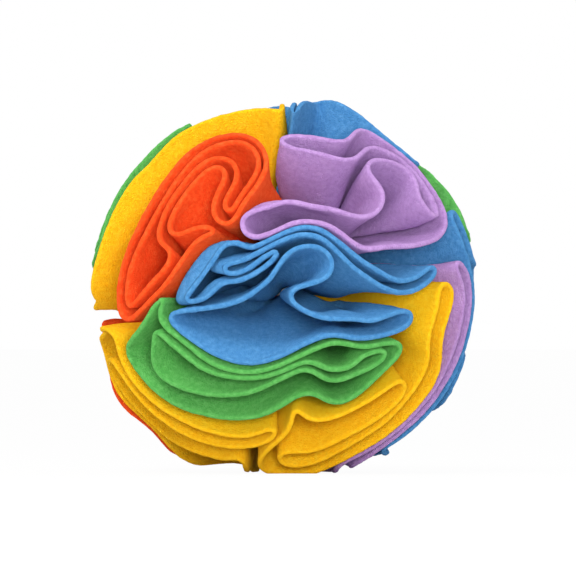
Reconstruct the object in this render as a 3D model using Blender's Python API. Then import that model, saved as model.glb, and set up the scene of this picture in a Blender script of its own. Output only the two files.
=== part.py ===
"""A fleece snuffle ball for hiding treats in.

Twenty round fleece discs are each pinched at their centre, folded over and bound together in the middle of the
ball. Each disc is one pad here: a fold of cloth that runs out from the middle to a rim of two plump lips with a
crease between them, and the spaces between the pads are the ball's treat folds. Each pad follows a curve over the
ball's surface. Those that face the viewer are placed by eye from the photograph. Metres, +Z up, the photographed
side faces -Y.
"""

import math

import bpy
import numpy as np

# Driving sizes
BALL_RADIUS = 0.075
PINCH_RADIUS = 0.0075
TIE_RADIUS = 0.0011
TIE_GAP = 0.0004
FLAT_DEPTH = 0.0022
CREASE_DEPTH = 0.0035
LIP_ROUNDING = 0.0035
END_LENGTH = 0.009

# How finely a pad and the tie are drawn
SECTIONS = 18
SPINE_PARTS = 24
TIE_POINTS = 60

# A section of a pad's rim, from its middle to its side: share of the half width, share of the crease's depth cut
# away, and share of the lip's rounding cut away
SECTION_SHARES = (
    (0, 1, 0),
    (0.22, 0.35, 0),
    (0.5, 0, 0),
    (0.8, 0, 0.25),
    (1, 0, 1),
)

# The ball's middle and radius in the photograph, in pixels
CENTRE_PX = (285, 288)
BALL_PX = 190
BACK = -1

# Lumps of the outline: a place in the photograph, height as a share of the radius, width as a share of the radius
LUMPS = (
    ((288, 110), -0.07, 0.10),
    ((330, 104), 0.02, 0.25),
    ((405, 152), -0.035, 0.30),
    ((426, 178), -0.03, 0.10),
    ((430, 430), 0.035, 0.35),
    ((258, 470), -0.05, 0.10),
    ((145, 418), -0.02, 0.25),
    ((104, 315), -0.05, 0.10),
    ((98, 290), 0.02, 0.25),
    ((148, 160), -0.03, 0.12),
)

COLOURS = {
    "orange": (0.95, 0.13, 0.02, 1.0),
    "yellow": (0.93, 0.55, 0.02, 1.0),
    "green": (0.08, 0.42, 0.08, 1.0),
    "blue": (0.05, 0.22, 0.60, 1.0),
    "lilac": (0.43, 0.20, 0.55, 1.0),
    "tie": (0.80, 0.80, 0.78, 1.0),
}
FLEECE_ROUGHNESS = 0.95

# Half the width of each pad at its rim
HALF_WIDTHS = {
    "orange_disc_1": 0.0058,
    "orange_disc_2": 0.0060,
    "orange_disc_3": 0.0110,
    "orange_disc_4": 0.0125,
    "yellow_disc_1": 0.0075,
    "yellow_disc_2": 0.0090,
    "yellow_disc_3": 0.0080,
    "yellow_disc_4": 0.0120,
    "green_disc_1": 0.0043,
    "green_disc_2": 0.0045,
    "green_disc_3": 0.0085,
    "green_disc_4": 0.0095,
    "blue_disc_1": 0.0085,
    "blue_disc_2": 0.0046,
    "blue_disc_3": 0.0080,
    "blue_disc_4": 0.0080,
    "lilac_disc_1": 0.0130,
    "lilac_disc_2": 0.0065,
    "lilac_disc_3": 0.0120,
    "lilac_disc_4": 0.0120,
}

# The curve of each pad's crease in the photograph's pixels. A third value of BACK marks a point on the hidden
# side, seen through the ball.
CREASES_PX = {
    "orange_disc_1": ((130, 302), (138, 246), (170, 188), (212, 150), (250, 148)),
    "orange_disc_2": ((158, 290), (178, 244), (206, 206), (238, 188)),
    "lilac_disc_1": ((254, 212), (300, 182), (356, 172), (398, 192), (426, 226)),
    "blue_disc_2": ((182, 282), (212, 256), (262, 252), (308, 237), (352, 258), (396, 279), (424, 266)),
    "blue_disc_1": ((184, 316), (238, 320), (288, 312), (344, 320), (394, 322)),
    "green_disc_2": ((164, 342), (200, 366), (252, 377), (304, 364), (350, 361), (380, 354)),
    "green_disc_1": ((138, 360), (166, 394), (228, 413), (284, 402), (332, 402), (372, 382)),
    "yellow_disc_1": ((278, 107), (222, 118), (162, 150), (122, 204), (106, 262), (100, 312)),
    "yellow_disc_2": ((112, 360), (136, 408), (180, 440), (222, 456), (256, 468), (262, 476, BACK), (258, 470, BACK)),
    "yellow_disc_3": ((316, 468, BACK), (314, 462), (346, 436), (398, 398), (430, 344), (440, 298)),
    "green_disc_3": ((212, 125, BACK), (160, 156, BACK), (118, 214, BACK), (103, 276, BACK)),
    "lilac_disc_2": ((458, 252), (466, 290), (460, 334), (440, 384), (404, 430), (372, 454), (354, 466)),
    "blue_disc_3": ((469, 256, BACK), (471, 292, BACK), (462, 336, BACK), (436, 388, BACK), (408, 424, BACK)),
    "green_disc_4": ((436, 172, BACK), (452, 196, BACK), (462, 218, BACK)),
    "blue_disc_4": ((302, 104), (348, 114), (396, 144), (432, 184)),
    "orange_disc_3": ((240, 112, BACK), (290, 105, BACK), (346, 112, BACK), (386, 136, BACK)),
    "lilac_disc_3": ((184, 192, BACK), (234, 160, BACK), (294, 150, BACK), (354, 164, BACK), (420, 212, BACK)),
    "yellow_disc_4": ((134, 262, BACK), (204, 238, BACK), (286, 234, BACK), (362, 250, BACK), (436, 286, BACK)),
    "orange_disc_4": ((102, 324, BACK), (186, 324, BACK), (272, 330, BACK), (350, 346, BACK), (418, 362, BACK)),
    "lilac_disc_4": ((148, 412, BACK), (206, 430, BACK), (284, 434, BACK), (346, 436, BACK), (376, 428, BACK)),
}


def unit(vectors):
    """Each row made one long."""
    return vectors / np.linalg.norm(vectors, axis=-1, keepdims=True)


def direction(point_px):
    """A pixel of the photograph as a direction from the ball's middle; +X right, +Z up, the viewer at -Y."""
    across = (point_px[0] - CENTRE_PX[0]) / BALL_PX
    up = (CENTRE_PX[1] - point_px[1]) / BALL_PX
    spread = math.hypot(across, up)
    if spread > 1:
        across = across / spread
        up = up / spread
    depth = math.sqrt(max(0, 1 - across**2 - up**2))
    is_back = len(point_px) == 3
    return (across, depth if is_back else -depth, up)


def crease_curve(places_px):
    """A Catmull-Rom curve through the places on the unit ball, read again at SECTIONS even steps."""
    places = np.array([direction(place) for place in places_px])
    places = np.vstack([2 * places[0] - places[1], places, 2 * places[-1] - places[-2]])
    before, start, after, later = places[:-3], places[1:-2], places[2:-1], places[3:]
    share = (np.arange(SPINE_PARTS) / SPINE_PARTS)[None, :, None]
    slope = (after - before)[:, None]
    curve = (2 * before - 5 * start + 4 * after - later)[:, None]
    twist = (3 * start - before - 3 * after + later)[:, None]
    fine = (2 * start[:, None] + slope * share + curve * share**2 + twist * share**3) / 2
    fine = unit(np.vstack([fine.reshape(-1, 3), places[-2:-1]]))
    steps = np.linalg.norm(np.diff(fine, axis=0), axis=1)
    along = np.concatenate([[0], np.cumsum(steps)])
    wanted = along[-1] * (1 - np.cos(np.linspace(0, math.pi, SECTIONS))) / 2
    read = [np.interp(wanted, along, fine[:, axis]) for axis in range(3)]
    return unit(np.stack(read, axis=1)), wanted * BALL_RADIUS


def reach_shares(directions):
    """How far out the rims reach in each direction, as a share of the ball's radius: the photographed lumps."""
    shares = np.ones(directions.shape[:-1])
    for point_px, height_share, width_share in LUMPS:
        distance = np.linalg.norm(directions - direction(point_px), axis=-1)
        shares += height_share * np.exp(-((distance / width_share) ** 2))
    return shares


def flattened(directions, reach):
    """The reach shortened at the bottom, so that the ball stands on a small flat."""
    floor = BALL_RADIUS - FLAT_DEPTH
    down = np.maximum(-directions[..., 2], PINCH_RADIUS / BALL_RADIUS)
    return np.minimum(reach, floor / down)


def full_section():
    """SECTION_SHARES mirrored, as one row of shares from side to side."""
    half = np.array(SECTION_SHARES)
    mirrored = half[:0:-1] * (-1, 1, 1)
    return np.concatenate([mirrored, half])


def end_shares(along):
    """How full the pad is at each section: 1 along it, and rounded down to its two ends."""
    to_end = np.minimum(along, along[-1] - along)
    short = np.clip(1 - to_end / END_LENGTH, 0, 1)
    return np.sqrt(1 - (1 - (LIP_ROUNDING / END_LENGTH) ** 2) * short**2)


def pad_points(places_px, half_width):
    """The pad's rim as a grid of directions, section by section, and how far out each point lies."""
    curve, along = crease_curve(places_px)
    full = end_shares(along)
    forward = np.gradient(curve, axis=0)
    sideways = unit(np.cross(curve, forward))
    across, crease, rounding = full_section().T
    width = (half_width / BALL_RADIUS * full)[:, None] * across[None]
    directions = unit(curve[:, None] + sideways[:, None] * width[:, :, None])
    cut = CREASE_DEPTH * full[:, None] * crease + LIP_ROUNDING * (rounding + (1 - full[:, None]) * (1 - rounding))
    reach = flattened(directions, BALL_RADIUS * reach_shares(directions) - cut)
    return directions, reach


def pad_mesh(name, directions, reach):
    """A closed pad: its rim, the same grid drawn in to the pinched middle, and a wall between the two all round."""
    rows, columns = reach.shape
    outer = (directions * reach[:, :, None]).reshape(-1, 3)
    inner = (directions * PINCH_RADIUS).reshape(-1, 3)
    count = rows * columns
    faces = []
    for row in range(rows - 1):
        for column in range(columns - 1):
            corner = row * columns + column
            faces.append((corner, corner + columns, corner + columns + 1, corner + 1))
            faces.append((count + corner, count + corner + 1, count + corner + columns + 1, count + corner + columns))
    border = list(range(columns))
    border += [row * columns + columns - 1 for row in range(1, rows)]
    border += [(rows - 1) * columns + column for column in range(columns - 2, -1, -1)]
    border += [row * columns for row in range(rows - 2, 0, -1)]
    for here, after in zip(border, border[1:] + border[:1]):
        faces.append((here, after, count + after, count + here))
    mesh = bpy.data.meshes.new(name)
    mesh.from_pydata(np.concatenate([outer, inner]).tolist(), [], faces)
    mesh.update()
    return mesh


def plain_material(name, colour):
    material = bpy.data.materials.new(name)
    material.use_nodes = True
    shader = material.node_tree.nodes["Principled BSDF"]
    shader.inputs["Base Color"].default_value = colour
    shader.inputs["Roughness"].default_value = FLEECE_ROUGHNESS
    shader.inputs["Metallic"].default_value = 0
    return material


def add_pads(pads, lift):
    """One object for each disc, moved so that the ball stands on the floor with its middle over the origin."""
    for name, (directions, reach) in pads.items():
        mesh = pad_mesh(name, directions, reach)
        mesh.materials.append(plain_material(name, COLOURS[name.split("_")[0]]))
        pad = bpy.data.objects.new(name, mesh)
        pad.location = lift
        bpy.context.collection.objects.link(pad)


def add_centre_tie(lift):
    """The cord that binds the pinched middles: one closed loop pulled into an overhand knot."""
    curve = bpy.data.curves.new("centre_tie", "CURVE")
    curve.dimensions = "3D"
    curve.bevel_depth = TIE_RADIUS
    curve.bevel_resolution = 1
    spline = curve.splines.new("POLY")
    spline.points.add(TIE_POINTS - 1)
    spline.use_cyclic_u = True
    size = (PINCH_RADIUS - TIE_GAP - TIE_RADIUS) / 3
    for index, point in enumerate(spline.points):
        turn = 2 * math.pi * index / TIE_POINTS
        x = math.sin(turn) + 2 * math.sin(2 * turn)
        y = math.cos(turn) - 2 * math.cos(2 * turn)
        z = -math.sin(3 * turn)
        point.co = (x * size, y * size, z * size, 1)
    curve.materials.append(plain_material("centre_tie", COLOURS["tie"]))
    tie = bpy.data.objects.new("centre_tie", curve)
    tie.location = lift
    bpy.context.collection.objects.link(tie)


def middle_shift(pads):
    """Where the ball's middle goes, so that its box is centred over the origin and stands at height zero."""
    outer = [(directions * reach[:, :, None]).reshape(-1, 3) for directions, reach in pads.values()]
    outer = np.concatenate(outer)
    low, high = outer.min(axis=0), outer.max(axis=0)
    return (-(low[0] + high[0]) / 2, -(low[1] + high[1]) / 2, BALL_RADIUS - FLAT_DEPTH)


def main():
    for thing in list(bpy.data.objects):
        bpy.data.objects.remove(thing)
    pads = {name: pad_points(places_px, HALF_WIDTHS[name]) for name, places_px in CREASES_PX.items()}
    lift = middle_shift(pads)
    add_pads(pads, lift)
    add_centre_tie(lift)


main()
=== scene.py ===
"""The looks of the fleece snuffle ball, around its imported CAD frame.

Each plain pad of the CAD model is replaced by one ruffled disc of fleece in the same part of the ball: two
napped faces a cloth's thickness apart, a rounded cut edge, and walls that curl as they go in towards the
tied middle. Metres, +Z up, photographed from -Y.
"""

import math

import bpy
import numpy as np
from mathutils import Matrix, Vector

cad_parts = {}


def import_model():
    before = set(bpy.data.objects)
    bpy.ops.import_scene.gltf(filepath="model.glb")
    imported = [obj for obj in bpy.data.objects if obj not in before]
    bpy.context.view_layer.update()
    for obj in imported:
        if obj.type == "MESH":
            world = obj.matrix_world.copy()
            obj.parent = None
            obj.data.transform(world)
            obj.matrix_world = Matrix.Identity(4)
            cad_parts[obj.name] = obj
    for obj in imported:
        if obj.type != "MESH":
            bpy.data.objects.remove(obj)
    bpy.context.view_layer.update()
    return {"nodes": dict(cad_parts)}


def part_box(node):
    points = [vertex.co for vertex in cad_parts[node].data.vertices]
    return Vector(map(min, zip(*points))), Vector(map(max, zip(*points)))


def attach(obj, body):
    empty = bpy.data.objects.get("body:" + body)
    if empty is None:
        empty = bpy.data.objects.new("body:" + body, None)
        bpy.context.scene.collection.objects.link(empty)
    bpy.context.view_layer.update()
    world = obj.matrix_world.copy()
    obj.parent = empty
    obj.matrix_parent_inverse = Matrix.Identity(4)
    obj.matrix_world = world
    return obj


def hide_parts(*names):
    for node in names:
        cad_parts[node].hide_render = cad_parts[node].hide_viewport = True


# Driving sizes
BALL_RADIUS = 0.075
FLEECE_THICKNESS = 0.002
LAYER_GAP = 0.0003
PINCH_RADIUS = 0.0075
TIE_GAP = 0.0004
FLAT_DEPTH = 0.0022

# How finely the rims are drawn
RIM_POINTS = 128
TABLE_PARTS = 8
FINE_PARTS = 4
ROUND_TO = 7
EASINGS = 2

# How the rims grow, as shares of the ball's radius
BACK_RIM_SHARE = 6.4
FREE_SPACE_SHARE = 0.115
PINNED_SPACE_SHARE = 0.042
LONGEST_STEP_SHARE = 0.008
NEAR_SHARE = 0.2
NEAREST_SHARE = 0.0003
PINNED_DEPTH_SHARE = 0.12
GROWTH_STEPS = 420
RELIST_STEPS = 10
NEIGHBOURS_SKIPPED = 4
PUSH_SHARE = 0.25
GROWN_BY_SHARE = 0.77
SPRING_SHARE = 0.4
STIFFNESS_SHARE = 0.05
SHORTEST_WAVES = 13
PINNED_PULL_SHARE = 0.15
HOME_PULL_SHARE = 0.25
WHIRL_WAVES = ((1, 0, 0), (0, 0, 1), (1, 0, 1), (1, 0, -1), (2, 1, 1), (1, 1, -2))
WHIRL_TURNS = 13
STIR_STEPS = 24
STIR_SHARE = 0.14
STIR_EDGE_SHARE = 0.05
STIR_FADE_SHARE = 0.3
GOLDEN_TURN = 2.4

# The cloth's own detail
RIM_COLUMNS = 400
WALL_ROWS = 23
EDGE_ROWS = 5
EDGE_SQUARENESS = 0.75
FOLD_SHARE = 0.94
THINNEST_SHARE = 0.02
ROOM_SMOOTHINGS = 6
CURL_WAVES = ((1, 0, 0), (0, 1, 0), (0, 0, 1), (1, 1, -1), (-1, 1, 1), (1, -1, 1))
CURL_TURNS = 6
CURL_DRIFT = 5
CURL_SHARE = 0.65
ROW_CROWDING = 1.7
LEAN_DEPTH = 0.0058
FOLD_DEPTH = 0.0028
LEAN_STEPS = 16

# Leans of the outer edge, in pixels: which discs, place, way and width. Named discs have sharper folds
EVERY_DISC = "every disc"
LEANS_PX = (
    (EVERY_DISC, (235, 262), (2, 7), 26),
    (EVERY_DISC, (310, 207), (-2, 8), 26),
    (EVERY_DISC, (400, 240), (0, 6), 28),
    (EVERY_DISC, (250, 345), (0, 8), 40),
    (EVERY_DISC, (350, 322), (0, 6), 30),
    (EVERY_DISC, (200, 240), (-3, -3), 18),
    (EVERY_DISC, (325, 270), (5, 0), 16),
    ("blue_disc_2", (182, 278), (34, -6), 34),
    ("blue_disc_2", (212, 252), (18, 2), 30),
    ("lilac_disc_1", (262, 203), (0, 11), 24),
    ("orange", (232, 138), (2, 8), 30),
    ("orange", (150, 225), (9, 4), 42),
)

# The unevenness of the nap
NAP_SEED = 7
NAP_WAVES = 24
NAP_WAVELENGTHS = (0.011, 0.005, 0.0026)
NAP_SHARES = (0.5, 0.6, 0.6)
NAP_HEIGHT = 0.0005

# Finish: plain, light and deep tone of each fleece
FLEECE_COLOURS = {
    "orange": ("F5501C", "F85F2B", "F04415"),
    "yellow": ("F8BC14", "FAC522", "F4B20C"),
    "green": ("57A851", "64B35D", "4B9C48"),
    "blue": ("4785BB", "5491C5", "3C7AB1"),
    "lilac": ("AE87C1", "B893CA", "A37CB7"),
}
CORD_COLOUR = "E8E6DF"
CORD_TURNS_PER_M = 160
CORD_LAY_DEPTH = 0.0002
FLEECE_ROUGHNESS = 0.95
SHEEN = 0.8
SHEEN_ROUGHNESS = 0.5
FLEECE_SPECULAR = 0.15
BLOTCHES_PER_M = 600
BLOTCH_DETAIL = 4
TONE_SHARES = (0.32, 0.5, 0.68)
PEBBLES_PER_M = 1700
PEBBLE_DETAIL = 3
PEBBLE_STRENGTH = 1.0
PEBBLE_HEIGHT = 0.001
SRGB_KNEE = 0.04045
SRGB_SLOPE = 12.92
SRGB_LIFT = 0.055
SRGB_POWER = 2.4

# The studio
IMAGE_PX = 576
CAMERA_DISTANCE = 4.0
CLIP_DISTANCE = 12.0
FLOOR_SIDE = 20.0
FLOOR_GREY = 0.85
FLOOR_WHITE_SHARE = 0.96
WORLD_STRENGTH = 0.74
LAMPS = (
    ("key", (-0.35, -0.8, 1.0), 0.8, 10),
    ("front", (0.1, -1.5, 0.1), 0.5, 15),
)

# The ball's middle and radius in the photograph, in pixels
CENTRE_PX = (285, 288)
BALL_PX = 190
BACK = -1

# Lumps of the outline: a place in the photograph, then height and width as shares of the radius
LUMPS = (
    ((258, 98), -0.055, 0.30),
    ((291, 98), -0.09, 0.11),
    ((330, 104), 0.025, 0.22),
    ((405, 140), -0.065, 0.30),
    ((430, 430), 0.028, 0.35),
    ((342, 470), -0.04, 0.10),
    ((238, 472), -0.065, 0.16),
    ((290, 468), 0.03, 0.25),
    ((145, 418), -0.02, 0.25),
    ((134, 393, BACK), 0.085, 0.20),
    ((186, 444, BACK), 0.075, 0.18),
    ((98, 318), -0.10, 0.09),
    ((98, 290), 0.02, 0.25),
    ((148, 160), -0.03, 0.12),
)

# Rims in the photograph's pixels. A third value of BACK marks a point on the hidden side
RIMS_PX = {
    "orange_disc_1": (
        (124, 316), (121, 296), (124, 272), (130, 248), (138, 228), (148, 209), (160, 191), (174, 173),
        (189, 156), (205, 144), (220, 137), (235, 134), (248, 137), (258, 144), (265, 155), (267, 166),
        (263, 178), (256, 190), (248, 200), (242, 211), (237, 221), (228, 226), (218, 222), (214, 211),
        (217, 199), (223, 187), (227, 176), (221, 168), (211, 170), (200, 180), (190, 191), (180, 203),
        (172, 215), (167, 226), (171, 234), (182, 235), (194, 232), (207, 229), (219, 231), (211, 238),
        (198, 247), (187, 258), (177, 271), (167, 285), (155, 298), (143, 310), (133, 319),
    ),
    "orange_disc_2": (
        (131, 307), (129, 290), (132, 270), (138, 249), (146, 230), (156, 212), (168, 195), (181, 178),
        (195, 162), (208, 151), (221, 144), (235, 141), (246, 144), (254, 151), (259, 160), (259, 170),
        (254, 181), (246, 192), (240, 202), (235, 212), (229, 214), (225, 207), (229, 197), (235, 187),
        (238, 176), (235, 166), (227, 160), (215, 159), (203, 166), (192, 176), (182, 188), (172, 200),
        (164, 212), (159, 223), (157, 233), (160, 242), (168, 248), (172, 257), (166, 269), (155, 281),
        (145, 293), (137, 303),
    ),
    "lilac_disc_1": (
        (278, 141), (290, 138), (305, 139), (320, 141), (334, 144), (345, 145), (352, 137), (360, 130),
        (370, 133), (381, 140), (393, 148), (404, 156), (413, 164), (421, 175), (429, 187), (436, 198),
        (442, 209), (445, 221), (443, 229), (438, 237), (428, 242), (412, 242), (397, 241), (384, 244),
        (370, 250), (358, 249), (346, 239), (335, 230), (324, 221), (311, 216), (299, 218), (288, 224),
        (277, 231), (265, 236), (253, 238), (244, 232), (240, 222), (243, 211), (253, 204), (267, 200),
        (282, 198), (297, 198), (312, 201), (326, 205), (340, 212), (352, 218), (363, 219), (373, 215),
        (380, 207), (383, 197), (379, 188), (371, 180), (364, 171), (368, 163), (379, 161), (391, 164),
        (402, 168), (411, 175), (416, 184), (415, 193), (418, 202), (425, 211), (432, 219), (437, 219),
        (434, 207), (427, 194), (419, 181), (411, 170), (400, 160), (388, 154), (376, 149), (366, 149),
        (360, 157), (350, 163), (338, 162), (326, 158), (312, 154), (298, 152), (285, 149),
    ),
    "blue_disc_1": (
        (172, 314), (186, 310), (201, 308), (216, 305), (231, 301), (246, 295), (260, 286), (271, 277),
        (279, 265), (286, 255), (296, 249), (308, 246), (319, 248), (327, 256), (327, 267), (321, 278),
        (309, 284), (297, 287), (290, 292), (291, 300), (300, 307), (312, 313), (326, 315), (341, 313),
        (356, 313), (371, 317), (387, 314), (402, 310), (410, 314), (409, 321), (400, 328), (388, 332),
        (372, 334), (356, 333), (342, 330), (328, 331), (314, 337), (300, 343), (286, 349), (271, 353),
        (256, 355), (240, 355), (225, 352), (210, 347), (196, 339), (183, 330), (173, 321),
    ),
    "blue_disc_2": (
        (170, 303), (174, 290), (180, 276), (188, 264), (197, 253), (208, 244), (221, 240), (235, 241),
        (249, 246), (264, 244), (276, 239), (288, 232), (299, 226), (311, 224), (322, 229), (333, 239),
        (345, 249), (357, 259), (370, 267), (384, 275), (397, 281), (409, 279), (420, 273), (430, 265),
        (435, 270), (428, 280), (415, 289), (402, 293), (388, 290), (374, 283), (361, 274), (348, 265),
        (337, 254), (327, 243), (318, 235), (307, 233), (296, 234), (284, 239), (270, 246), (254, 251),
        (236, 254), (219, 257), (206, 262), (202, 267), (210, 270), (228, 267), (246, 263), (262, 256),
        (275, 248), (281, 249), (276, 257), (264, 266), (248, 272), (231, 276), (215, 279), (205, 285),
        (200, 293), (193, 300), (182, 304),
    ),
    "green_disc_1": (
        (168, 297), (158, 304), (151, 316), (143, 328), (135, 338), (129, 349), (134, 361), (144, 375),
        (155, 387), (168, 397), (184, 406), (202, 411), (221, 415), (240, 416), (257, 414), (271, 409),
        (283, 402), (294, 395), (305, 391), (315, 392), (325, 398), (335, 401), (345, 399), (355, 393),
        (366, 384), (377, 373), (388, 363), (397, 353), (400, 344), (392, 341), (380, 343), (366, 344),
        (352, 341), (340, 338), (328, 340), (316, 346), (302, 352), (288, 358), (274, 362), (259, 365),
        (243, 366), (226, 364), (211, 359), (199, 351), (188, 342), (176, 333), (165, 324), (161, 312),
        (165, 304),
    ),
    "green_disc_2": (
        (158, 330), (156, 345), (155, 360), (160, 372), (172, 381), (186, 387), (202, 391), (219, 393),
        (236, 392), (251, 389), (265, 383), (279, 376), (291, 370), (302, 367), (312, 369), (321, 375),
        (331, 379), (343, 377), (355, 372), (367, 367), (377, 361), (385, 353), (380, 348), (370, 350),
        (361, 354), (353, 362), (343, 367), (331, 368), (320, 364), (308, 359), (296, 362), (283, 367),
        (268, 371), (252, 373), (236, 373), (219, 371), (204, 366), (192, 358), (181, 349), (170, 340),
    ),
    "yellow_disc_1": (
        (282, 111), (262, 107), (238, 110), (208, 121), (183, 134), (160, 153), (137, 178), (121, 204),
        (108, 236), (100, 268), (96, 296), (100, 312, BACK), (110, 302, BACK), (118, 268, BACK),
        (126, 236, BACK), (140, 206, BACK), (160, 178, BACK), (186, 156, BACK), (216, 140, BACK),
        (250, 130, BACK), (274, 122, BACK),
    ),
    "yellow_disc_2": (
        (118, 334), (121, 350), (126, 366), (136, 381), (148, 394), (161, 405), (176, 414), (192, 422),
        (208, 428), (224, 432), (240, 434), (255, 432), (267, 427), (276, 424), (279, 430), (273, 437),
        (262, 441), (244, 444), (226, 444), (207, 440), (188, 433), (170, 423), (154, 411), (140, 397),
        (128, 381), (118, 364), (112, 358), (110, 366), (118, 385), (131, 403), (145, 419), (161, 433),
        (180, 444), (201, 452), (224, 457), (245, 456), (252, 468, BACK), (234, 468, BACK),
        (208, 459, BACK), (182, 445, BACK), (157, 425, BACK), (136, 402, BACK), (119, 375, BACK),
        (107, 347, BACK), (104, 328),
    ),
    "yellow_disc_3": (
        (263, 464), (282, 469), (302, 468), (322, 464), (340, 457), (356, 449), (371, 441), (385, 431),
        (398, 420), (410, 408), (421, 395), (431, 381), (437, 366), (438, 352), (438, 338), (442, 324),
        (447, 308), (451, 292), (446, 283), (436, 286), (436, 300), (432, 316), (427, 331), (425, 346),
        (426, 360), (420, 374), (412, 387), (402, 400), (391, 412), (378, 424), (364, 433), (350, 441),
        (335, 449), (318, 456), (300, 460), (285, 459), (277, 453), (284, 447), (300, 448), (318, 446),
        (335, 438), (350, 431), (365, 423), (379, 414), (391, 404), (401, 394), (405, 383), (398, 377),
        (388, 385), (375, 394), (361, 402), (346, 410), (331, 416), (316, 418), (304, 416), (300, 406),
        (292, 407), (292, 420), (285, 431), (274, 440), (266, 448), (260, 456),
    ),
    "green_disc_3": (
        (184, 116), (163, 134), (142, 158), (124, 186), (110, 218), (102, 250), (98, 270, BACK),
        (106, 250, BACK), (112, 222, BACK), (126, 192, BACK), (144, 166, BACK), (166, 144, BACK),
        (190, 122, BACK),
    ),
    "lilac_disc_2": (
        (458, 262), (466, 276), (469, 295), (467, 314), (463, 333), (457, 352), (448, 370), (438, 387),
        (425, 404), (410, 419), (394, 433), (377, 446), (362, 457), (350, 465), (356, 452, BACK),
        (372, 432, BACK), (388, 404, BACK), (394, 376, BACK), (382, 372, BACK), (374, 396, BACK),
        (360, 420, BACK), (344, 444, BACK), (332, 466, BACK), (336, 463), (352, 455), (371, 445),
        (388, 433), (404, 419), (418, 404), (431, 388), (441, 371), (449, 353), (455, 335), (460, 316),
        (462, 296), (459, 279), (451, 266),
    ),
    "blue_disc_3": (
        (448, 216), (455, 231), (461, 247), (467, 264), (470, 280), (472, 298), (470, 316), (466, 336),
        (458, 359), (447, 380), (432, 401), (414, 420), (396, 436), (380, 447), (388, 440, BACK),
        (404, 424, BACK), (420, 406, BACK), (434, 386, BACK), (445, 364, BACK), (453, 340, BACK),
        (459, 316, BACK), (462, 290, BACK), (464, 270, BACK), (472, 262), (468, 247), (461, 229),
        (454, 212),
    ),
    "green_disc_4": (
        (434, 174), (447, 191), (457, 209), (464, 228), (468, 242, BACK), (456, 238, BACK),
        (446, 220, BACK), (434, 198, BACK), (420, 178, BACK), (426, 166, BACK),
    ),
    "blue_disc_4": (
        (293, 114), (299, 106), (308, 101), (320, 101), (334, 105), (348, 110), (361, 116), (374, 124),
        (387, 133), (399, 142), (410, 152), (419, 160), (424, 156, BACK), (406, 150, BACK),
        (386, 138, BACK), (366, 128, BACK), (342, 120, BACK), (318, 118, BACK), (300, 120, BACK),
    ),
    "orange_disc_4": (
        (372, 360, BACK), (320, 346, BACK), (262, 332, BACK), (200, 320, BACK), (150, 316, BACK),
        (118, 322, BACK), (112, 351, BACK), (134, 393, BACK), (167, 429, BACK), (199, 450, BACK),
        (194, 436, BACK), (162, 408, BACK), (136, 372, BACK), (130, 340, BACK), (150, 332, BACK),
        (200, 340, BACK), (262, 352, BACK), (320, 368, BACK), (370, 374, BACK),
    ),
}

# Slim loops that the wholly hidden rims start from: middle, half length, half width, tilt in degrees
HIDDEN_LOOPS_PX = {
    "orange_disc_3": ((262, 196), 84, 10, 14),
    "lilac_disc_3": ((300, 240), 120, 10, -10),
    "yellow_disc_4": ((276, 290), 135, 10, 4),
    "lilac_disc_4": ((268, 392), 84, 10, -6),
}
LOOP_CORNERS = 12


def unit(vectors):
    """Each row made one long."""
    return vectors / np.linalg.norm(vectors, axis=-1, keepdims=True)


def direction(point_px):
    """A pixel of the photograph as a direction from the ball's middle: +X right, +Z up, viewer at -Y."""
    across = (point_px[0] - CENTRE_PX[0]) / BALL_PX
    up = (CENTRE_PX[1] - point_px[1]) / BALL_PX
    spread = math.hypot(across, up)
    if spread > 1:
        across = across / spread
        up = up / spread
    depth = math.sqrt(max(0, 1 - across**2 - up**2))
    is_back = len(point_px) == 3
    return (across, depth if is_back else -depth, up)


def even_loop(points, count):
    """A closed loop of points on the unit ball, read again at even steps along it."""
    closed = np.vstack([points, points[:1]])
    steps = np.linalg.norm(np.diff(closed, axis=0), axis=1)
    along = np.concatenate([[0], np.cumsum(steps)])
    wanted = np.linspace(0, along[-1], count, endpoint=False)
    read = [np.interp(wanted, along, closed[:, axis]) for axis in range(3)]
    return unit(np.stack(read, axis=1))


def smooth_loop(points, parts):
    """A closed Catmull-Rom curve through the points, with so many parts between each two."""
    before = np.roll(points, 1, axis=0)
    after = np.roll(points, -1, axis=0)
    later = np.roll(points, -2, axis=0)
    share = (np.arange(parts) / parts)[None, :, None]
    start, slope = points[:, None], (after - before)[:, None]
    curve = (2 * before - 5 * points + 4 * after - later)[:, None]
    twist = (3 * points - before - 3 * after + later)[:, None]
    read = (2 * start + slope * share + curve * share**2 + twist * share**3) / 2
    return unit(read.reshape(-1, 3))


def loop_length(points):
    return np.linalg.norm(np.roll(points, -1, axis=0) - points, axis=1).sum()


def hidden_loop(middle_px, half_length_px, half_width_px, tilt_deg):
    """The corners of a slim loop on the hidden side."""
    tilt = math.radians(tilt_deg)
    corners = []
    for corner in range(LOOP_CORNERS):
        turn = 2 * math.pi * corner / LOOP_CORNERS
        along = half_length_px * math.cos(turn)
        aside = half_width_px * math.sin(turn)
        x_px = middle_px[0] + along * math.cos(tilt) - aside * math.sin(tilt)
        y_px = middle_px[1] + along * math.sin(tilt) + aside * math.cos(tilt)
        corners.append((x_px, y_px, BACK))
    return corners


def starting_rims():
    """Every rim as RIM_POINTS even points on the unit ball, by name."""
    tables = dict(RIMS_PX)
    tables.update((name, hidden_loop(*loop)) for name, loop in HIDDEN_LOOPS_PX.items())
    rims = {}
    for name, table in tables.items():
        corners = np.array([direction(point) for point in table])
        rims[name] = even_loop(smooth_loop(corners, TABLE_PARTS), RIM_POINTS)
    return rims


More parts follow.
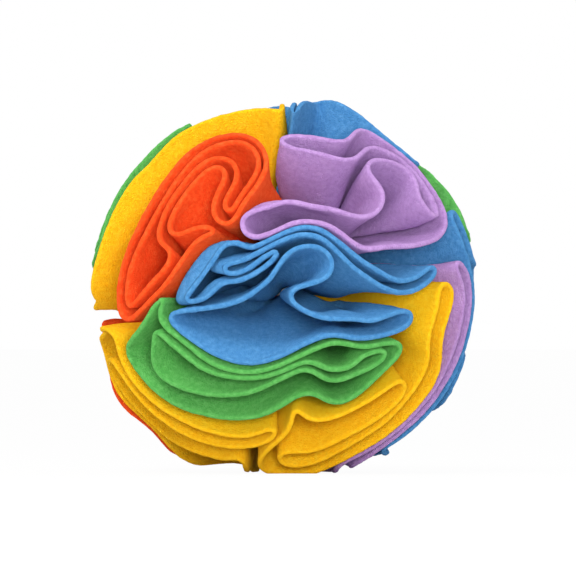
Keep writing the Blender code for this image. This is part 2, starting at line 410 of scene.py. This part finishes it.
def near_pairs(points):
    """Pairs of points close enough to meet soon, leaving out those beside each other on one rim."""
    first, second = np.nonzero(points @ points.T > 1 - NEAR_SHARE**2 / 2)
    kept = first < second
    first, second = first[kept], second[kept]
    apart = np.abs(first - second)
    apart = np.minimum(apart, RIM_POINTS - apart)
    beside = (first // RIM_POINTS == second // RIM_POINTS) & (apart <= NEIGHBOURS_SKIPPED)
    return first[~beside], second[~beside]


def pushes(points, first, second, space):
    """How far each point is pushed by the others that are nearer to it than its space."""
    apart = points[second] - points[first]
    distance = np.linalg.norm(apart, axis=1)
    short = np.maximum(0, space[first] + space[second] - 2 * distance) / 2
    push = apart / np.maximum(distance, NEAREST_SHARE)[:, None] * (short * PUSH_SHARE)[:, None]
    total = np.zeros_like(points)
    np.add.at(total, second, push)
    np.add.at(total, first, -push)
    return total


def pulls(rims, rest):
    """Springs along each rim, which push once a stretch is shorter than its rest length."""
    step = np.roll(rims, -1, axis=1) - rims
    length = np.linalg.norm(step, axis=2, keepdims=True)
    pull = step / length * (length - rest) * SPRING_SHARE
    return pull - np.roll(pull, 1, axis=1)


def smoothed(rims):
    """The rims with their short waves damped, as a cloth that resists tight bends."""
    waves = np.arange(RIM_POINTS // 2 + 1)
    kept = 1 / (1 + STIFFNESS_SHARE * (waves / SHORTEST_WAVES) ** 4)
    return np.fft.irfft(np.fft.rfft(rims, axis=1) * kept[None, :, None], RIM_POINTS, axis=1)


def stirred(points):
    """The hidden side carried along by a few soft whirls, which bend neighbouring rims together."""
    whirls = unit(np.array(WHIRL_WAVES, float))
    for _ in range(STIR_STEPS):
        depth = np.clip((points[:, 1] + STIR_EDGE_SHARE) / STIR_FADE_SHARE, 0, 1)[:, None]
        slope = np.cos(points @ whirls.T * WHIRL_TURNS + np.arange(len(whirls)) * GOLDEN_TURN) @ whirls
        points = unit(points + np.cross(slope, points) * depth * (STIR_SHARE / STIR_STEPS))
    return points


def eased(rim):
    """The rim at even steps with its sharpest corners rounded off."""
    rim = even_loop(rim, len(rim))
    for _ in range(EASINGS):
        rim = unit(np.roll(rim, 1, axis=0) + 2 * rim + np.roll(rim, -1, axis=0))
    return rim


def stretch_lengths(rims, loose):
    """The length of each stretch of rim at the start and fully grown. Only loose stretches grow."""
    start = np.linalg.norm(np.roll(rims, -1, axis=1) - rims, axis=2, keepdims=True)
    slack = np.maximum(0, BACK_RIM_SHARE - start.sum(axis=1, keepdims=True))
    return start, start + slack * loose / np.maximum(1, loose.sum(axis=1, keepdims=True))


def capped(move):
    """The moves, with none longer than LONGEST_STEP_SHARE."""
    reach = np.linalg.norm(move, axis=1, keepdims=True)
    return move * (LONGEST_STEP_SHARE / np.maximum(reach, LONGEST_STEP_SHARE))


def grown_rims():
    """The rims once they have pushed apart and grown to full length. Pinned stretches are held near home."""
    starts = starting_rims()
    shape = (len(starts), RIM_POINTS, 3)
    home = np.concatenate(list(starts.values()))
    pinned = (home[:, 1] < PINNED_DEPTH_SHARE)[:, None]
    space = np.where(pinned[:, 0], PINNED_SPACE_SHARE, FREE_SPACE_SHARE)
    start, full = stretch_lengths(home.reshape(shape), ~pinned.reshape(len(starts), RIM_POINTS, 1))
    points = np.where(pinned, home, stirred(home))
    for step in range(GROWTH_STEPS):
        if step % RELIST_STEPS == 0:
            first, second = near_pairs(points)
        grown = min(1, step / GROWTH_STEPS / GROWN_BY_SHARE)
        rest = start + (full - start) * grown
        move = pushes(points, first, second, space)
        move += pulls(points.reshape(shape), rest).reshape(-1, 3) * np.where(pinned, PINNED_PULL_SHARE, 1)
        move += (home - points) * pinned * HOME_PULL_SHARE
        points = points + capped(move)
        soft = smoothed(points.reshape(shape)).reshape(-1, 3)
        points = np.round(unit(np.where(pinned, points, soft)), ROUND_TO)
    return {name: eased(rim) for name, rim in zip(starts, points.reshape(shape))}


def reach_shares(directions):
    """How far out the rims reach in each direction, as a share of the radius: the photographed lumps."""
    shares = np.ones(len(directions))
    for point_px, height_share, width_share in LUMPS:
        distance = np.linalg.norm(directions - direction(point_px), axis=1)
        shares += height_share * np.exp(-((distance / width_share) ** 2))
    return shares


def flattened(directions, reach):
    """The reach shortened at the bottom, so that the ball stands on a small flat."""
    floor = BALL_RADIUS - FLAT_DEPTH - FLEECE_THICKNESS / 2
    down = np.maximum(-directions[:, 2], PINCH_RADIUS / BALL_RADIUS)
    return np.minimum(reach, floor / down)


def ball_middle():
    """The ball's middle, from the tie in it, which reaches PINCH_RADIUS - TIE_GAP towards the viewer."""
    low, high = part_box("centre_tie")
    return np.array([(low.x + high.x) / 2, low.y + PINCH_RADIUS - TIE_GAP, (low.z + high.z) / 2])


def fine_rims(rims):
    """Every rim with RIM_COLUMNS points, named as its disc."""
    fine = {}
    for name, rim in rims.items():
        fine[name] = even_loop(smooth_loop(rim, FINE_PARTS), RIM_COLUMNS)
    return fine


def beside(points, everything, nearest):
    """How far each point lies from the two stretches of loop that meet at its nearest loop point."""
    first = nearest - nearest % RIM_COLUMNS
    least = np.full(len(points), np.inf)
    for side in (-1, 1):
        start = everything[nearest]
        along = everything[first + (nearest + side) % RIM_COLUMNS] - start
        share = ((points - start) * along).sum(axis=1) / (along * along).sum(axis=1)
        foot = start + along * np.clip(share, 0, 1)[:, None]
        least = np.minimum(least, np.linalg.norm(points - foot, axis=1))
    return least


def room_shares(loops):
    """The least distance from each point of the loops to any other layer, in shares of the radius."""
    everything = np.concatenate(list(loops.values()))
    room = {}
    for index, (name, loop) in enumerate(loops.items()):
        distance = np.sqrt(np.maximum(0, 2 - 2 * loop @ everything.T))
        own = np.arange(RIM_COLUMNS)
        apart = np.abs(own[:, None] - own[None])
        travelled = np.minimum(apart, RIM_COLUMNS - apart) * (loop_length(loop) / RIM_COLUMNS)
        mine = slice(index * RIM_COLUMNS, (index + 1) * RIM_COLUMNS)
        distance[:, mine][travelled <= 2 * distance[:, mine]] = 1
        nearest = np.minimum(distance.min(axis=1), beside(loop, everything, distance.argmin(axis=1)))
        for _ in range(ROOM_SMOOTHINGS):
            nearest = np.minimum(nearest, (np.roll(nearest, 1) + np.roll(nearest, -1)) / 2)
        room[name] = nearest
    return room


def curled(directions, share, step):
    """The directions carried on by soft whirls, a little further at each row and alike for every disc."""
    whirls = unit(np.array(CURL_WAVES, float))
    phase = np.arange(len(whirls)) * GOLDEN_TURN + share * CURL_DRIFT
    slope = np.cos(directions @ whirls.T * CURL_TURNS + phase) @ whirls
    return unit(directions + np.cross(slope, directions) * step)


def leaned(name, directions, depth):
    """The directions carried along by the listed leans. One disc's own leans can fold it onto itself."""
    leans = [lean for lean in LEANS_PX if lean[0] == EVERY_DISC or name.startswith(lean[0])]
    places = np.array([direction(place) for _, place, _, _ in leans])
    depths = np.array([LEAN_DEPTH if disc == EVERY_DISC else FOLD_DEPTH for disc, _, _, _ in leans])
    amounts = np.exp(-((depth / depths) ** 2)) / LEAN_STEPS
    ways = np.array([(way[0], 0, -way[1]) for _, _, way, _ in leans]) / BALL_PX * amounts[:, None]
    widths = np.array([width for _, _, _, width in leans]) / BALL_PX
    for _ in range(LEAN_STEPS):
        distance = np.linalg.norm(directions[:, None] - places[None], axis=2)
        directions = unit(directions + np.exp(-((distance / widths) ** 2)) @ ways)
    return directions


def wall_rows(name, rim):
    """The disc's middle surface: rows of points from the rim in to the pinched middle, and their shares."""
    shares = 1 - (1 - PINCH_RADIUS / BALL_RADIUS) * np.linspace(0, 1, WALL_ROWS) ** ROW_CROWDING
    reach = flattened(rim, BALL_RADIUS * reach_shares(rim))
    directions = rim.copy()
    rows = []
    for share, after in zip(shares, np.append(shares[1:], 0)):
        depth = BALL_RADIUS * (1 - share)
        edge = leaned(name, directions, depth)
        rows.append(edge * (reach * share)[:, None])
        directions = curled(directions, share, CURL_SHARE * (share - after) * math.sqrt(1 - share))
    return np.array(rows), shares


def nap(points):
    """An uneven height for each point of the cloth, from many small waves."""
    rng = np.random.default_rng(NAP_SEED)
    height = np.zeros(len(points))
    for wavelength, share in zip(NAP_WAVELENGTHS, NAP_SHARES):
        ways = unit(rng.normal(size=(NAP_WAVES, 3))) * (2 * math.pi / wavelength)
        turns = rng.uniform(0, 2 * math.pi, NAP_WAVES)
        height += np.sin(points @ ways.T + turns).mean(axis=1) * share
    return height * NAP_HEIGHT


def walls(rims):
    """Each disc's rows, their shares and the room at every point, as layers draw closer on the way in."""
    surfaces = {name: wall_rows(name, rim) for name, rim in rims.items()}
    room = {name: [] for name in rims}
    for index in range(WALL_ROWS):
        layers = {name: unit(rows[index]) for name, (rows, _) in surfaces.items()}
        for name, nearest in room_shares(layers).items():
            room[name].append(nearest)
    return {name: (rows, shares, np.array(room[name])) for name, (rows, shares) in surfaces.items()}


def half_thickness(rows, shares, room, across):
    """Half the cloth's thickness at every point. A slanted wall has less room than an upright one."""
    slant = np.sqrt(1 - (across * unit(rows)).sum(axis=2) ** 2)
    free = (room * FOLD_SHARE * BALL_RADIUS - LAYER_GAP) * shares[:, None] * slant
    return np.clip(free, FLEECE_THICKNESS * THINNEST_SHARE, FLEECE_THICKNESS) / 2


def cut_edge(rim, across, outward, half):
    """The rows of points that go round the cut edge from one face to the other."""
    rows = []
    for turn in np.linspace(0, math.pi, EDGE_ROWS + 2)[1:-1]:
        aside = np.sign(math.cos(turn)) * abs(math.cos(turn)) ** EDGE_SQUARENESS
        rise = math.sin(turn) ** EDGE_SQUARENESS
        rows.append(rim + across * (half * aside)[:, None] + outward * (half * rise)[:, None])
    return np.array(rows)


def cloth_points(rows, shares, room):
    """A grid of points: up one face from the middle, round the cut edge and down the other face."""
    along = np.roll(rows, -1, axis=1) - np.roll(rows, 1, axis=1)
    inward = np.gradient(rows, axis=0)
    across = unit(np.cross(along, inward))
    outward = -unit(inward[0])
    half = half_thickness(rows, shares, room, across)
    left = (rows + across * half[:, :, None])[::-1]
    edge = cut_edge(rows[0], across[0], outward, half[0])
    right = rows - across * half[:, :, None]
    grid = np.concatenate([left, edge, right]).reshape(-1, 3)
    sides = np.concatenate([across[::-1], np.repeat(outward[None], EDGE_ROWS, axis=0), -across])
    thickness = np.concatenate([half[::-1], np.repeat(half[:1], EDGE_ROWS, axis=0), half]).ravel() * 2
    lift = nap(grid) * thickness / FLEECE_THICKNESS
    return grid + sides.reshape(-1, 3) * lift[:, None]


def cloth_faces():
    """Quads over a disc's grid, which closes round, with its last row joined to its first."""
    row_count = 2 * WALL_ROWS + EDGE_ROWS
    row, column = np.meshgrid(np.arange(row_count), np.arange(RIM_COLUMNS), indexing="ij")
    after = (column + 1) % RIM_COLUMNS
    here = row * RIM_COLUMNS
    below = (row + 1) % row_count * RIM_COLUMNS
    corners = [here + column, below + column, below + after, here + after]
    return np.stack([corner.ravel() for corner in corners], axis=1)


def cloth_mesh(name, points, faces):
    """A smooth-shaded mesh from arrays of points and of faces."""
    mesh = bpy.data.meshes.new(name)
    mesh.vertices.add(len(points))
    mesh.vertices.foreach_set("co", points.astype(np.float32).ravel())
    mesh.loops.add(faces.size)
    mesh.loops.foreach_set("vertex_index", faces.astype(np.int32).ravel())
    mesh.polygons.add(len(faces))
    mesh.polygons.foreach_set("loop_start", np.arange(0, faces.size, faces.shape[1], dtype=np.int32))
    mesh.update(calc_edges=True)
    mesh.validate()
    mesh.shade_smooth()
    return mesh


def add_node(tree, kind, x, y, **settings):
    """A shader node at a place in the node editor, with its settings."""
    node = tree.nodes.new(kind)
    node.location = (x, y)
    for key, value in settings.items():
        setattr(node, key, value)
    return node


def new_material(name):
    """A material with its node tree and its shader."""
    material = bpy.data.materials.new(name)
    material.use_nodes = True
    return material, material.node_tree, material.node_tree.nodes["Principled BSDF"]


def fleece_material(name, base, light, deep):
    """Brushed fleece: blotches of nap that lie different ways, a pebbled bump and a soft sheen."""
    material, tree, shader = new_material(name)
    shader.inputs["Roughness"].default_value = FLEECE_ROUGHNESS
    shader.inputs["Specular IOR Level"].default_value = FLEECE_SPECULAR
    shader.inputs["Sheen Weight"].default_value = SHEEN
    shader.inputs["Sheen Roughness"].default_value = SHEEN_ROUGHNESS
    shader.inputs["Sheen Tint"].default_value = light
    place = add_node(tree, "ShaderNodeTexCoord", -900, 0)
    blotch = add_node(tree, "ShaderNodeTexNoise", -700, 200)
    blotch.inputs["Scale"].default_value = BLOTCHES_PER_M
    blotch.inputs["Detail"].default_value = BLOTCH_DETAIL
    ramp = add_node(tree, "ShaderNodeValToRGB", -450, 200)
    elements = ramp.color_ramp.elements
    elements.new(TONE_SHARES[1])
    for element, share, tone in zip(elements, TONE_SHARES, (deep, base, light)):
        element.position = share
        element.color = tone
    pebbles = add_node(tree, "ShaderNodeTexNoise", -700, -200)
    pebbles.inputs["Scale"].default_value = PEBBLES_PER_M
    pebbles.inputs["Detail"].default_value = PEBBLE_DETAIL
    bump = add_node(tree, "ShaderNodeBump", -450, -200)
    bump.inputs["Strength"].default_value = PEBBLE_STRENGTH
    bump.inputs["Distance"].default_value = PEBBLE_HEIGHT
    tree.links.new(place.outputs["Object"], blotch.inputs["Vector"])
    tree.links.new(place.outputs["Object"], pebbles.inputs["Vector"])
    tree.links.new(blotch.outputs["Fac"], ramp.inputs["Fac"])
    tree.links.new(ramp.outputs["Color"], shader.inputs["Base Color"])
    tree.links.new(pebbles.outputs["Fac"], bump.inputs["Height"])
    tree.links.new(bump.outputs["Normal"], shader.inputs["Normal"])
    return material


def cord_material(name, code):
    """A pale cord with a twisted lay."""
    material, tree, shader = new_material(name)
    shader.inputs["Base Color"].default_value = linear(code)
    shader.inputs["Roughness"].default_value = FLEECE_ROUGHNESS
    place = add_node(tree, "ShaderNodeTexCoord", -900, 0)
    lay = add_node(tree, "ShaderNodeTexWave", -700, 0, bands_direction="DIAGONAL")
    lay.inputs["Scale"].default_value = CORD_TURNS_PER_M
    bump = add_node(tree, "ShaderNodeBump", -450, 0)
    bump.inputs["Distance"].default_value = CORD_LAY_DEPTH
    tree.links.new(place.outputs["Object"], lay.inputs["Vector"])
    tree.links.new(lay.outputs["Fac"], bump.inputs["Height"])
    tree.links.new(bump.outputs["Normal"], shader.inputs["Normal"])
    return material


def linear(code):
    """A colour written as RRGGBB, as Blender's linear red, green, blue and alpha."""
    parts = []
    for start in (0, 2, 4):
        value = int(code[start:start + 2], 16) / 255
        dark = value / SRGB_SLOPE
        bright = ((value + SRGB_LIFT) / (1 + SRGB_LIFT)) ** SRGB_POWER
        parts.append(dark if value <= SRGB_KNEE else bright)
    return (*parts, 1.0)


def add_discs(rims, middle):
    """One piece of cloth for each disc, in place of its CAD pad."""
    materials = {}
    for colour, codes in FLEECE_COLOURS.items():
        materials[colour] = fleece_material("fleece_" + colour, *map(linear, codes))
    faces = cloth_faces()
    for name, (rows, shares, room) in walls(rims).items():
        mesh = cloth_mesh(name + "_cloth", cloth_points(rows, shares, room) + middle, faces)
        piece = bpy.data.objects.new(name + "_cloth", mesh)
        bpy.context.collection.objects.link(piece)
        piece.data.materials.append(materials[name.split("_")[0]])
        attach(piece, "root")
        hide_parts(name)


def seen_directly(tree):
    """A node that is 1 for camera, mirror and glass rays, and 0 for the rays that light the object."""
    seen = add_node(tree, "ShaderNodeLightPath", -400, 300)
    either = add_node(tree, "ShaderNodeMath", -200, 300, operation="MAXIMUM")
    any_ray = add_node(tree, "ShaderNodeMath", 0, 300, operation="MAXIMUM")
    tree.links.new(seen.outputs["Is Camera Ray"], either.inputs[0])
    tree.links.new(seen.outputs["Is Glossy Ray"], either.inputs[1])
    tree.links.new(either.outputs[0], any_ray.inputs[0])
    tree.links.new(seen.outputs["Is Transmission Ray"], any_ray.inputs[1])
    return any_ray


def white_behind(name, grey, strength):
    """A pale surface that camera, mirror and glass rays see as nearly plain white."""
    material, tree, shader = new_material(name)
    shader.inputs["Base Color"].default_value = (grey, grey, grey, 1)
    shader.inputs["Roughness"].default_value = 1
    output = tree.nodes["Material Output"]
    share = add_node(tree, "ShaderNodeMath", 100, 300, operation="MULTIPLY")
    share.inputs[1].default_value = strength
    white = add_node(tree, "ShaderNodeEmission", 0, 0)
    mix = add_node(tree, "ShaderNodeMixShader", 300, 0)
    tree.links.new(seen_directly(tree).outputs[0], share.inputs[0])
    tree.links.new(share.outputs[0], mix.inputs["Fac"])
    tree.links.new(shader.outputs["BSDF"], mix.inputs[1])
    tree.links.new(white.outputs["Emission"], mix.inputs[2])
    tree.links.new(mix.outputs["Shader"], output.inputs["Surface"])
    return material


def add_floor():
    """The plain pale floor that the ball stands on."""
    mesh = bpy.data.meshes.new("floor")
    side = FLOOR_SIDE / 2
    corners = [(-side, -side, 0), (side, -side, 0), (side, side, 0), (-side, side, 0)]
    mesh.from_pydata(corners, [], [range(len(corners))])
    floor = bpy.data.objects.new("floor", mesh)
    bpy.context.collection.objects.link(floor)
    mesh.materials.append(white_behind("floor", FLOOR_GREY, FLOOR_WHITE_SHARE))


def set_world():
    """Even pale light, seen as plain white by camera, mirror and glass rays."""
    world = bpy.data.worlds.new("studio")
    bpy.context.scene.world = world
    world.use_nodes = True
    tree = world.node_tree
    light = tree.nodes["Background"]
    light.inputs["Color"].default_value = (1, 1, 1, 1)
    light.inputs["Strength"].default_value = WORLD_STRENGTH
    white = add_node(tree, "ShaderNodeBackground", 0, -200)
    white.inputs["Color"].default_value = (1, 1, 1, 1)
    mix = add_node(tree, "ShaderNodeMixShader", 300, 0)
    tree.links.new(seen_directly(tree).outputs[0], mix.inputs["Fac"])
    tree.links.new(light.outputs["Background"], mix.inputs[1])
    tree.links.new(white.outputs["Background"], mix.inputs[2])
    tree.links.new(mix.outputs["Shader"], tree.nodes["World Output"].inputs["Surface"])


def add_lamp(name, place, size, watts, middle):
    """A round soft lamp, placed from the ball's middle and turned towards it."""
    lamp = bpy.data.lights.new(name, "AREA")
    lamp.shape = "DISK"
    lamp.size = size
    lamp.energy = watts
    holder = bpy.data.objects.new(name, lamp)
    bpy.context.collection.objects.link(holder)
    holder.location = middle + np.array(place)
    turn_to(holder, middle)


def turn_to(thing, target):
    """Turns a camera or lamp so that it looks at the target."""
    way = Vector([float(value) for value in target]) - thing.location
    thing.rotation_euler = way.to_track_quat("-Z", "Y").to_euler()


def add_camera(middle):
    """A long lens on the photographed side, framed so that the ball's middle lands on CENTRE_PX."""
    camera = bpy.data.cameras.new("camera")
    holder = bpy.data.objects.new("camera", camera)
    bpy.context.collection.objects.link(holder)
    frame_width = IMAGE_PX * BALL_RADIUS / BALL_PX
    camera.lens = camera.sensor_width * CAMERA_DISTANCE / frame_width
    camera.clip_end = CLIP_DISTANCE
    metres_per_px = BALL_RADIUS / BALL_PX
    aside = (IMAGE_PX / 2 - CENTRE_PX[0]) * metres_per_px
    above = (CENTRE_PX[1] - IMAGE_PX / 2) * metres_per_px
    target = middle + np.array([aside, 0, above])
    holder.location = target + np.array([0, -CAMERA_DISTANCE, 0])
    turn_to(holder, target)
    bpy.context.scene.camera = holder


def main():
    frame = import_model()
    tie = frame["nodes"]["centre_tie"]
    tie.data.materials.clear()
    tie.data.materials.append(cord_material("cord", CORD_COLOUR))
    middle = ball_middle()
    add_discs(fine_rims(grown_rims()), middle)
    add_floor()
    set_world()
    for name, place, size, watts in LAMPS:
        add_lamp(name, place, size, watts, middle)
    add_camera(middle)
    bpy.context.scene.view_settings.view_transform = "Standard"


main()
